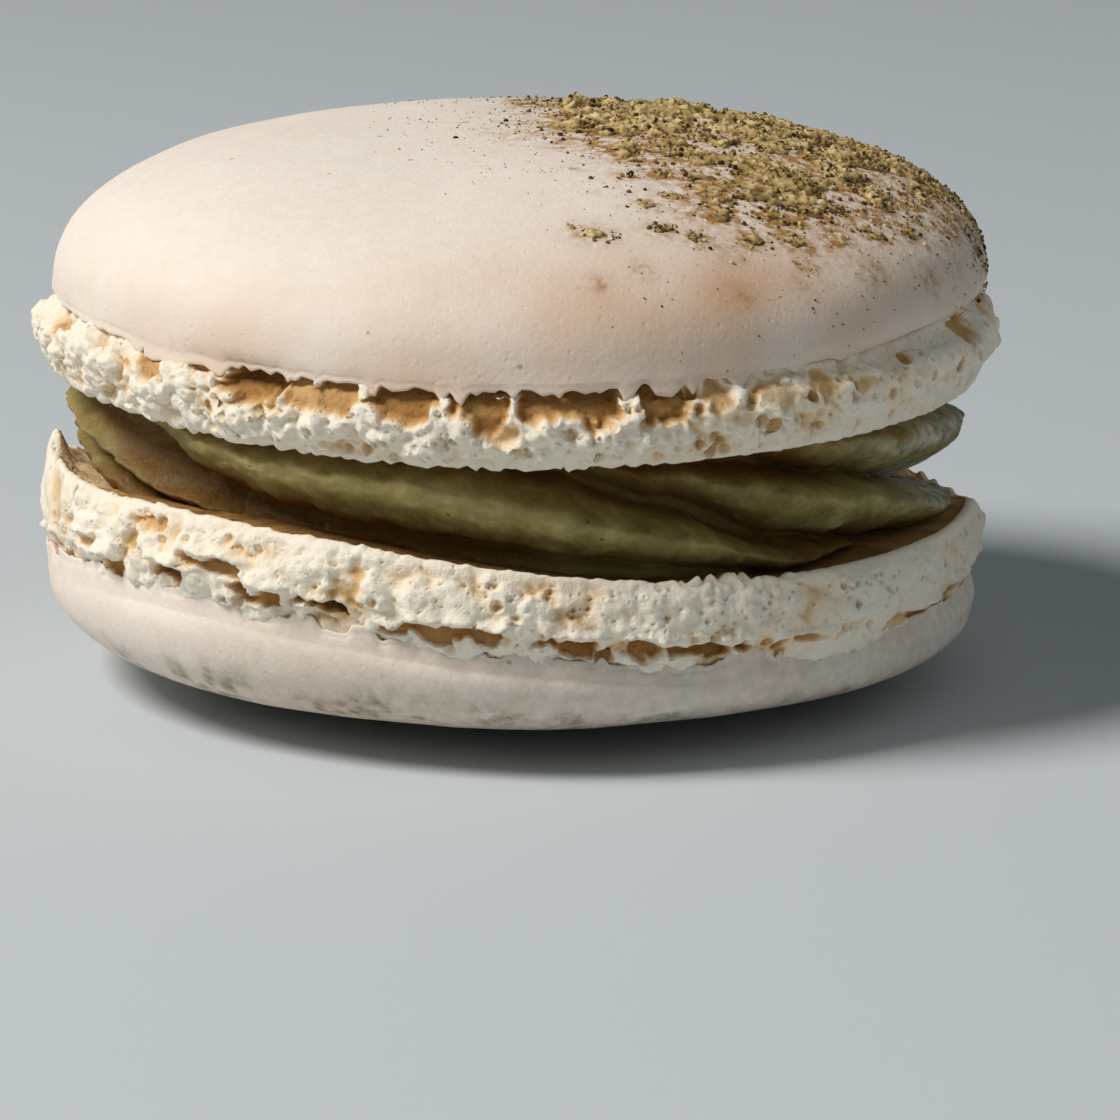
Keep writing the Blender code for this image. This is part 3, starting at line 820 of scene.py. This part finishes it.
upperFootCorners = [  # radius, height over the face, share of the row spacing
    (0.0, 4.4, 60.0), (19.0, 4.4, 12.0), (20.7, 4.1, 1.4), (21.05, 3.5, 1.0), (21.5, 3.1, 1.0), (21.95, 2.8, 1.0),
    (22.1, 2.4, 1.0), (22.0, 1.8, 1.0), (21.75, 1.1, 1.0), (21.4, 0.4, 1.0), (21.25, 0.1, 1.0), (21.05, 0.0, 1.2),
    (20.0, 0.0, 3.0), (18.0, 0.05, 20.0), (0.0, 0.35, 60.0),
]
upperFoot = {
    "seed": 71,
    "steps": 146,
    "cuts": 7,
    "rowSpacing": 0.1,
    "radius": 21.9,
    "calm": 0.5,
    "roughestAt": -30.0,
    "ruffleDepth": 0.30,
    "ruffleSize": 3.6,
    "bend": 0.35,
    "knobs": [(0.50, 1.5, 4), (0.34, 0.75, 5), (0.14, 0.4, 6)],  # depth, size and seed
    "crumbDepth": 0.13,
    "crumbSize": 0.26,
    "slide": 0.16,
    "bubbles": [(60, 0.3, 0.6, 0.5), (420, 0.14, 0.34, 0.6), (500, 0.10, 0.16, 0.7)],  # count, radii, how far sunk
    "serration": 0.16,
    "faceBrownAndShade": [(0.0, 0.5), (180.0, 0.5)],  # azimuth, how brown the face is: its baked tan, made darker with painted shade at the front and right, under the cream
    "faceBumps": 0.08,
    "paintedCreaseShade": 0.6,
    "tearRag": 0.5,
    "tearSink": 0.62,
    "tearSlant": 0.0,
    "crispFrom": 0.75,  # tears shallower than this have soft edges
    "browDepth": 0.3,
    "smoothestAt": 62.0,
    "rimRise": [(0.0, 0.0), (180.0, 0.0)],  # azimuth in degrees, how far the rim stands up past its line
    "rimSlope": 0.5,  # how far in from the rim that rise begins
    "rimLean": 0.08,
    "pulledIn": [(0.0, 0.0), (55.0, 0.0), (75.0, 0.22), (110.0, 0.22), (140.0, 0.0)],  # azimuth, how far the side is drawn in
    "crumbledAt": 25.0,
    "crumbled": 0.0,
}
lowerFootCorners = [
    (0.0, 4.95, 60.0), (19.3, 4.95, 12.0), (20.85, 4.6, 1.4), (21.15, 4.0, 1.0), (21.5, 3.45, 1.0), (21.85, 2.8, 1.0),
    (22.0, 2.1, 1.0), (21.9, 1.4, 1.0), (21.7, 0.75, 1.0), (21.45, 0.25, 1.0), (21.3, 0.03, 1.0), (21.12, 0.0, 1.0),
    (20.97, 0.06, 1.0), (20.77, 0.3, 1.2), (20.2, 0.42, 2.0), (18.5, 0.42, 20.0), (0.0, 0.5, 60.0),
]
lowerFoot = dict(
    upperFoot, seed=81, radius=21.95, calm=0.4, ruffleDepth=0.34, knobs=[(0.42, 1.6, 4), (0.26, 0.8, 5), (0.12, 0.42, 6)],
    crumbDepth=0.07, bubbles=[(50, 0.3, 0.55, 0.55), (300, 0.14, 0.34, 0.6), (500, 0.10, 0.16, 0.7)], serration=0.08, crumbled=0.5,
    rimRise=[(-118, 0.0), (-104, 0.5), (-97, 0.7), (-93, 1.1), (-90, 1.6), (-88.5, 1.0), (-86.5, 1.5), (-84, 0.8), (-76, 0.6), (-68, 0.25), (-60, 0.0),
             (84, 0.0), (92, -0.6), (100, -1.2), (115, -1.2), (130, 0.0)],
    faceBrownAndShade=[(-140, 0.5), (-95, 0.42), (-72, 0.48), (-58, 0.8), (0, 0.95), (45, 0.92), (62, 0.76), (95, 0.7), (140, 0.5)],
    tearRag=1.0, tearSink=0.75, tearSlant=0.5, browDepth=0.5, smoothestAt=66.0, rimSlope=2.8,
    pulledIn=[(-150.0, 0.0), (-100.0, 0.4), (-70.0, 0.3), (-50.0, 0.0), (45.0, 0.0), (70.0, 0.4), (110.0, 0.4), (140.0, 0.0)],
)

addFoot("upperFoot", upperShell, upperFootCorners, upperTears, upperFoot, "upper_shell")
addFoot("lowerFoot", lowerShell, lowerFootCorners, lowerTears, lowerFoot, "lower_shell")
print("feet made")


# The cream was piped in ropes that lean down to the right, each lapping over the one before.
# Each place along a rope: azimuth in degrees, how far its ridge lies under the upper shell, the ridge's radius, and
# how far the rope reaches up and down from its ridge.

ropes = [
    {"backHollow": 1.9, "places": [
        (-120.0, 0.2, 19.2, 1.0), (-98.0, 0.6, 20.1, 1.1), (-84.0, 1.1, 20.5, 1.1), (-77.0, 1.7, 20.4, 1.0),
        (-70.0, 2.1, 20.1, 0.9), (-65.0, 2.5, 19.8, 0.9), (-60.0, 2.9, 19.5, 0.9), (-54.0, 3.3, 19.1, 0.8),
        (-47.0, 3.5, 18.8, 0.7), (-38.0, 3.8, 17.4, 0.6),
    ]},
    {"backHollow": 0.0, "places": [
        (-66.0, -0.7, 18.8, 1.2), (-57.0, -0.1, 19.7, 1.6), (-48.0, 0.35, 20.1, 1.8), (-36.0, 0.85, 20.3, 1.8),
        (-24.0, 0.95, 20.4, 1.9), (-12.0, 1.1, 20.5, 2.0), (-2.0, 1.6, 20.6, 1.9), (5.0, 2.05, 20.6, 1.8),
        (15.0, 2.95, 20.6, 1.6), (23.0, 3.65, 20.5, 1.4), (30.0, 4.35, 20.4, 1.1), (36.0, 4.8, 20.1, 0.9),
        (44.0, 5.1, 19.8, 0.75), (53.0, 5.4, 19.2, 0.65), (62.0, 5.7, 17.4, 0.6),
    ]},
    {"backHollow": 0.0, "places": [
        (-9.0, -0.3, 17.0, 1.1), (0.0, 0.2, 17.1, 1.1), (8.0, 0.6, 17.3, 1.2), (16.0, 1.0, 17.7, 1.3), (25.0, 1.5, 18.4, 1.4),
        (33.0, 2.0, 19.2, 1.5), (38.0, 2.35, 19.8, 1.6), (48.0, 3.05, 20.5, 1.7), (59.0, 3.75, 20.6, 1.6), (69.0, 4.55, 20.6, 1.5),
        (80.0, 5.2, 20.5, 1.4), (89.0, 5.7, 20.3, 1.2), (97.0, 6.0, 18.2, 0.9),
    ]},
    {"backHollow": 0.0, "places": [
        (30.0, -0.4, 18.2, 1.0), (38.0, 0.1, 18.9, 1.1), (47.5, 0.65, 19.7, 1.5), (56.0, 1.0, 20.2, 1.7), (66.0, 1.35, 20.6, 1.8),
        (76.0, 1.8, 20.8, 1.9), (90.0, 2.3, 20.8, 1.9), (104.0, 3.1, 20.3, 1.7), (120.0, 3.9, 19.6, 1.3), (136.0, 4.8, 18.4, 0.9),
    ]},
]
cream = {
    "outer": 20.0,
    "steps": 130,
    "cuts": 7,
    "rows": 80,
    "core": 17.0,  # radius behind the ropes
    "footAt": [(-150, 17.2), (-84, 17.4), (-60, 17.5), (-35, 17.4), (-18, 17.8), (-6, 18.3), (5, 18.8), (16, 19.1), (32, 19.0),
               (46, 18.5), (60, 17.7), (84, 17.5), (150, 17.2)],  # azimuth in degrees, radius of its foot
    "footRise": 1.6,  # how high the foot reaches
    "backRopesFrom": [84.0, 118.0, 152.0, 188.0, 222.0],
    "ridgeSink": 2.3,
    "sharpness": 1.9,
    "backShare": 0.5,  # a rope falls off sooner above its ridge
    "swell": 0.16,
    "bumps": [(0.14, 1.1, 1), (0.10, 0.5, 2), (0.05, 0.24, 7)],  # depth, size and seed
    "waver": 0.22,  # how far the ridges stray from their lines
    "streaks": 0.05,
    "grooves": 0.2,
    "groovesAt": 70.0,
    "tornEnds": [(73.0, 3.9, 0.42), (84.0, 4.6, 0.5), (90.0, 2.2, 0.3)],  # azimuth, depth under the shell, how rough
    "footSink": 0.45,
    "overlap": 0.05,
    "seed": 91,
}


def backRope(leavesAt):  # one more of the same round the back
    fall = [(0.0, -0.3, 18.6, 1.2), (10.0, 0.3, 19.5, 1.6), (24.0, 1.0, 20.0, 1.8), (40.0, 1.8, 20.1, 1.7), (56.0, 2.8, 20.0, 1.5)]
    fall += [(72.0, 3.7, 19.6, 1.3), (84.0, 4.5, 18.6, 0.9)]
    return {"backHollow": 0.0, "places": [(leavesAt + ahead, drop, radius, reach) for ahead, drop, radius, reach in fall]}


def ropeSurface(rope, degrees, drop):  # the radius that one rope gives the cream at each point, 0 where it is not there
    at, ridgeDrop, ridgeRadius, reach = np.array(rope["places"]).T
    surface = np.zeros(len(degrees))
    for turn in (-360.0, 0.0, 360.0):
        here = degrees + turn
        present = (here > at[0]) & (here < at[-1])
        over = (np.interp(here, at, ridgeDrop) - drop) / np.interp(here, at, reach)
        over = over / np.where(over > 0.0, 1.0 if rope["backHollow"] else cream["backShare"], 1.0)
        radius = np.interp(here, at, ridgeRadius)
        fall = cream["ridgeSink"] * np.abs(over) ** cream["sharpness"]
        if rope["backHollow"]:
            fall = np.where(over > 0.0, rope["backHollow"] * (1.0 - np.exp(-over)), fall)
        surface = np.where(present, np.maximum(surface, radius - fall), surface)
    return surface


def creamNoise(points, degrees, drop):  # swelling, small bumps, streaks along the ropes and the rough torn places
    lift = cream["swell"] * noiseAt(points, 3.0, cream["seed"])
    for depth, size, seed in cream["bumps"]:
        lift += depth * noiseAt(points, size, cream["seed"] + seed)
    along = np.stack((degrees * 0.09, (drop - 0.055 * degrees) * 2.6, np.zeros(len(drop))), axis=1)
    lift += cream["streaks"] * np.cos(np.radians(degrees) / 2.0) ** 2 * noiseAt(along, 1.0, cream["seed"] + 3)
    across = np.stack((degrees * 0.8 + 1.6 * noiseAt(points, 1.2, cream["seed"] + 8), drop * 0.9, np.zeros(len(drop))), axis=1)
    fade = np.exp(-((degrees - cream["groovesAt"]) / 14.0) ** 2) * (1.0 - smoothBetween(2.4, 3.2, drop))
    lift += cream["grooves"] * fade * noiseAt(across, 1.0, cream["seed"] + 4)
    flakes = noiseAt(points, 0.9, cream["seed"] + 5) + 0.6 * noiseAt(points, 0.4, cream["seed"] + 6)
    for at, level, roughness in cream["tornEnds"]:
        lift += roughness * np.exp(-((degrees - at) / 9.0) ** 2 - ((drop - level) / 1.1) ** 2) * flakes
    return lift


def addCream():
    top = upperShell["faceAt"] - lowerShell["faceAt"]
    outer = cream["outer"]
    rows = [(0.0, top), (0.5 * outer, top)]
    rows += [(outer, top * (1.0 - row / (cream["rows"] - 1))) for row in range(cream["rows"])]
    outline = np.array(rows + [(0.5 * outer, 0.0), (0.0, 0.0)])
    mesh = turnedForm("creamSwirl", outline, cream["steps"], cream["cuts"])
    form = readForm(mesh, outline)
    points, azimuth = form["points"], form["azimuth"]
    degrees = np.degrees(azimuth)
    side = form["radius"] > 0.9 * outer
    x, y = outer * np.sin(azimuth), -outer * np.cos(azimuth)
    drop = (1.0 - form["height"] / top) * (faceHeightAt(upperShell, x, y) - faceHeightAt(lowerShell, x, y))
    footDegrees, footRadius = np.array(cream["footAt"]).T
    lowest = smoothBetween(cream["footRise"], 0.2, form["height"])
    surface = cream["core"] + (np.interp(degrees, footDegrees, footRadius) - cream["core"]) * lowest
    strayed = drop + cream["waver"] * (noiseAt(points, 2.4, cream["seed"] + 9) + 0.6 * noiseAt(points, 0.9, cream["seed"] + 10))
    for rope in ropes + [backRope(leavesAt) for leavesAt in cream["backRopesFrom"]]:
        surface = np.maximum(surface, ropeSurface(rope, degrees, strayed))
    radius = np.where(side, surface + creamNoise(points, degrees, drop), 0.85 * form["radius"])
    points[:, 0] = radius * np.sin(azimuth)
    points[:, 1] = -radius * np.cos(azimuth)
    level = form["height"] / top
    bottomAt = faceHeightAt(lowerShell, points[:, 0], points[:, 1]) - cream["footSink"]
    topAt = faceHeightAt(upperShell, points[:, 0], points[:, 1]) + cream["overlap"]
    points[:, 2] = bottomAt + level * (topAt - bottomAt)
    # Painted shade, with a browner tone on the far left: darker where the cream is set back, in the wedge between two
    # ropes, and towards the bottom.
    ramp = np.exp(-(arcFrom(azimuth, -60.0) / 0.4) ** 2) * smoothBetween(20.2, 18.6, radius)
    ramp += 0.35 * np.exp(-(arcFrom(azimuth, -85.0) / 0.5) ** 2)
    foot = 0.5 * (1.0 - smoothBetween(0.0, 0.25, level)) + 0.7 * np.exp(-((degrees - 47.0) / 13.0) ** 2) * smoothBetween(4.1, 4.8, drop)
    paintedWedgeShade = 0.8 * np.exp(-((degrees - 42.0) / 9.0) ** 2) * smoothBetween(19.9, 18.9, radius) * (drop < 2.6)
    crease = 0.85 * smoothBetween(19.0, 17.8, radius)
    keepShade(mesh, "brownAndPaintedShade", 0.95 * ramp + foot + paintedWedgeShade + crease)
    # Painted highlight: lighter on the outermost ridges left of the front right, which face the key light.
    keepShade(mesh, "paintedCrestHighlight", smoothBetween(0.15, -0.75, arcFrom(azimuth, 25.0)) * smoothBetween(19.8, 20.7, radius))
    dry = np.zeros(len(degrees))
    for at, deep, roughness in cream["tornEnds"]:
        dry += 2.2 * roughness * np.exp(-((degrees - at) / 8.0) ** 2 - ((drop - deep) / 0.9) ** 2)
    dry += 0.9 * np.exp(-((degrees - cream["groovesAt"]) / 13.0) ** 2) * smoothBetween(2.6, 1.6, drop)
    keepShade(mesh, "dry", dry)
    return finishPiece(mesh, points, creamFinish, "filling")


addCream()
print("cream made")


# The powder lies in crumbly heaps on the upper crown's right half, with loose grains round them and down the side.
# Its places are worked out on the crown unrolled flat from its top, x to the right and y to the back.

def crownPlace(flat, shell, relief, lift):  # the points on a crown's skin at these places, lifted off it
    outline = domeOutline(shell, 0.1)
    run = np.concatenate(([0.0], np.cumsum(np.hypot(*np.diff(outline, axis=0).T))))
    along, azimuth = np.hypot(flat[:, 0], flat[:, 1]), np.arctan2(flat[:, 0], -flat[:, 1])
    around = np.stack((np.sin(azimuth), -np.cos(azimuth)), axis=1)
    radius, height = np.interp(along, run, outline[:, 0]), np.interp(along, run, outline[:, 1])
    out, up = (np.interp(along, run, part) for part in outwardOf(outline).T)
    points = np.column_stack((around * radius[:, None], height))
    normals = np.column_stack((around * out[:, None], up))
    onDome = smoothBetween(relief["edgeAt"], shell["crownSpring"] + 0.3, height)
    points += normals * (onDome * skinSwell(points, shell, relief) + lift)[:, None]
    return setInPlace(points, shell)


def heapLumps(flat):  # the crumbs on the heaps, above and below their mean
    bend = 0.25 * np.stack([noiseAt(flatPoints(flat), 0.6, heaps["seed"] + 10 + axis) for axis in range(3)], axis=1)
    lumps = np.zeros(len(flat))
    for size, height, seed in heaps["lumps"]:
        lumps += height * (lumpsAt(flatPoints(flat) + bend, size, heaps["seed"] + seed) - 0.45)
    for size, height, seed in heaps["crumbs"]:
        lumps += height * (0.35 - np.abs(noiseAt(flatPoints(flat) - bend, size, heaps["seed"] + seed)) * 2.0)
    return lumps


def heapLift(flat, cover):  # how high the heaps stand off the skin
    deep = 1.0 - np.exp(-np.maximum(cover, 0.0) / heaps["steepness"])
    thinned = 0.35 + 0.65 * smoothBetween(dusting["lowestAt"], heaps["thinFrom"], np.hypot(flat[:, 0], flat[:, 1]))
    return heaps["height"] * thinned * deep * (1.0 + 1.1 * heapLumps(flat)) - heaps["sunk"]


def addHeaps():
    middle, half, cells = heaps["middle"], heaps["halfSpan"], heaps["cells"]
    form = bmesh.new()
    bmesh.ops.create_grid(form, x_segments=cells, y_segments=cells, size=half)
    flat = np.array([vert.co[:2] for vert in form.verts]) + np.array(middle)
    cover = powderCover(flat)
    bare = [vert for vert, value in zip(form.verts, cover) if value < 0.0]
    lift = heapLift(flat, cover)
    for vert, height in zip(form.verts, lift):
        vert.co.z = height
    bmesh.ops.delete(form, geom=bare, context="VERTS")
    for _ in range(3):
        thin = [vert for vert in form.verts if len(vert.link_faces) < 2 or len(vert.link_edges) > len(vert.link_faces) + 1]
        bmesh.ops.delete(form, geom=thin, context="VERTS")
    under = bmesh.ops.extrude_face_region(form, geom=list(form.faces), use_keep_orig=True)["geom"]
    for vert in under:
        if isinstance(vert, bmesh.types.BMVert):
            vert.co.z = -heaps["underside"]
    bmesh.ops.recalc_face_normals(form, faces=form.faces)
    mesh = bpy.data.meshes.new("powderHeaps")
    form.to_mesh(mesh)
    form.free()
    points = np.empty(len(mesh.vertices) * 3)
    mesh.vertices.foreach_get("co", points)
    points = points.reshape(-1, 3)
    flat = points[:, :2] + np.array(middle)
    # Random tint, plus painted shade from the crumbs' relief: lighter on their tops, darker in the crevices between
    # them, and darker where the heaps thin out.
    tintAndCreviceShade = 0.62 + 0.4 * noiseAt(flatPoints(flat), 1.4, heaps["seed"] + 20) + 0.55 * heapLumps(flat)
    keepShade(mesh, "tintAndCreviceShade", tintAndCreviceShade - 0.35 * smoothBetween(0.4, 0.0, powderCover(flat)))
    return finishPiece(mesh, crownPlace(flat, upperShell, upperCrown, points[:, 2]), powderFinish, None)


grainCorners = 12  # a grain is an icosahedron, bent out of true
grains = {
    "count": 4200,
    "batch": 200,
    "sizes": (0.045, 0.17),
    "flatness": (0.5, 1.0),
    "widen": 1.0,
    "seed": 62,
}
dust = {
    "count": 5000,
    "batch": 200,
    "sizes": (0.022, 0.07),
    "flatness": (0.4, 1.0),
    "widen": 8.0,
    "seed": 63,
}


def strewnPlaces(strew):  # places on the flat crown, most of them where the powder is thick
    dice = random.Random(strew["seed"])
    count = 12 * strew["count"]
    tries = np.array([(dice.uniform(-7.0, 26.0), dice.uniform(-23.0, 16.0)) for _ in range(count)])
    cover = powderCover(tries)
    share = 0.5 * dustiness(tries, strew["widen"]) ** 1.3
    share += 0.4 * smoothBetween(-0.5, 0.0, cover)
    clump = np.clip(0.9 + 1.6 * noiseAt(flatPoints(tries), 1.6, strew["seed"] + 1), 0.1, 2.0)
    kept = np.array([dice.random() for _ in range(count)]) < share * clump
    kept &= np.hypot(tries[:, 0], tries[:, 1]) < dusting["lowestAt"] + 0.6
    return tries[kept][:strew["count"]], dice


def addGrains(name, strew):
    flat, dice = strewnPlaces(strew)
    cover = powderCover(flat)
    lift = np.maximum(heapLift(flat, cover), 0.0)
    places = crownPlace(flat, upperShell, upperCrown, lift)
    mesh = bpy.data.meshes.new(name)
    whole = bmesh.new()
    tints = []
    for start in range(0, len(places), strew["batch"]):
        form = bmesh.new()
        for place in places[start:start + strew["batch"]]:
            least, most = strew["sizes"]
            radius = least + (most - least) * dice.random() ** 2.5
            turn = Euler([dice.uniform(0.0, math.tau) for _ in range(3)]).to_matrix().to_4x4()
            squash = Matrix.Diagonal((1.0, dice.uniform(*strew["flatness"]), dice.uniform(*strew["flatness"]), 1.0))
            around = Matrix.Translation(place) @ turn @ squash
            bmesh.ops.create_icosphere(form, subdivisions=1, radius=radius, matrix=around)
            tints += [0.85 * dice.random() ** 1.5] * grainCorners
        form.to_mesh(mesh)
        form.free()
        whole.from_mesh(mesh)
    whole.to_mesh(mesh)
    whole.free()
    keepShade(mesh, "tintAndCreviceShade", np.array(tints))
    points = np.empty(len(mesh.vertices) * 3)
    mesh.vertices.foreach_get("co", points)
    return finishPiece(mesh, points.reshape(-1, 3), powderFinish, None)


addHeaps()
addGrains("powderGrains", grains)
addGrains("powderDust", dust)
print("powder strewn")


# ---- stage, light and camera

stageSize = {"flatRadius": 500.0, "bendRadius": 500.0, "wallHeight": 700.0}


def addStage():
    outline = [(0.0, 0.0), (stageSize["flatRadius"], 0.0)]
    for step in range(1, 13):
        turn = math.radians(90.0 * step / 12)
        outline.append((stageSize["flatRadius"] + stageSize["bendRadius"] * math.sin(turn), stageSize["bendRadius"] * (1.0 - math.cos(turn))))
    outline.append((outline[-1][0], outline[-1][1] + stageSize["wallHeight"]))
    form = bmesh.new()
    chain = [form.verts.new((radius * mm, 0.0, height * mm)) for radius, height in outline]
    edges = [form.edges.new(pair) for pair in zip(chain, chain[1:])]
    bmesh.ops.spin(form, geom=chain + edges, axis=(0, 0, 1), cent=(0, 0, 0), angle=math.tau, steps=96, use_merge=True)
    bmesh.ops.remove_doubles(form, verts=form.verts, dist=0.00001)
    mesh = bpy.data.meshes.new("floor")
    form.to_mesh(mesh)
    form.free()
    mesh.shade_smooth()
    material, tree, surface = startFinish("paleFloor", 0.85)
    surface.inputs["Base Color"].default_value = tone(202, 208, 211)
    mesh.materials.append(material)
    floor = bpy.data.objects.new("floor", mesh)
    bpy.context.scene.collection.objects.link(floor)


def addLight(name, place, aim, size, power, colour):
    lamp = bpy.data.lights.new(name, "AREA")
    lamp.shape = "DISK"
    lamp.size = size
    lamp.energy = power
    lamp.color = colour
    light = bpy.data.objects.new(name, lamp)
    light.location = place
    light.rotation_euler = (Vector(aim) - Vector(place)).to_track_quat("-Z", "Y").to_euler()
    bpy.context.scene.collection.objects.link(light)


def addCamera():
    view = {"elevation": 13.3, "distance": 300.0, "aim": (2.26, 0.0, 4.95), "lens": 207.4}
    turn = math.radians(view["elevation"])
    aim = Vector(view["aim"]) * mm
    away = Vector((0.0, -math.cos(turn), math.sin(turn))) * view["distance"] * mm
    lens = bpy.data.cameras.new("camera")
    lens.lens = view["lens"]
    lens.sensor_width = 36.0
    camera = bpy.data.objects.new("camera", lens)
    camera.location = aim + away
    camera.rotation_euler = (-away).to_track_quat("-Z", "Y").to_euler()
    bpy.context.scene.collection.objects.link(camera)
    bpy.context.scene.camera = camera


addStage()
addLight("keyLight", (-0.395, -0.165, 0.50), (0.0, 0.0, 0.01), 0.26, 4.0, (1.0, 0.975, 0.95))
addLight("fillLight", (-0.15, -0.60, 0.55), (0.0, 0.0, 0.01), 0.8, 0.18, (0.90, 0.98, 1.0))
addLight("rightLight", (0.46, -0.12, 0.58), (0.0, 0.0, 0.02), 0.8, 0.32, (0.92, 0.98, 1.0))
world = bpy.data.worlds.new("softRoom")
world.use_nodes = True
world.node_tree.nodes["Background"].inputs[0].default_value = (0.80, 0.94, 1.0, 1.0)
world.node_tree.nodes["Background"].inputs[1].default_value = 0.058
bpy.context.scene.world = world
bpy.context.scene.view_settings.view_transform = "Standard"
addCamera()
print("stage, light and camera set")
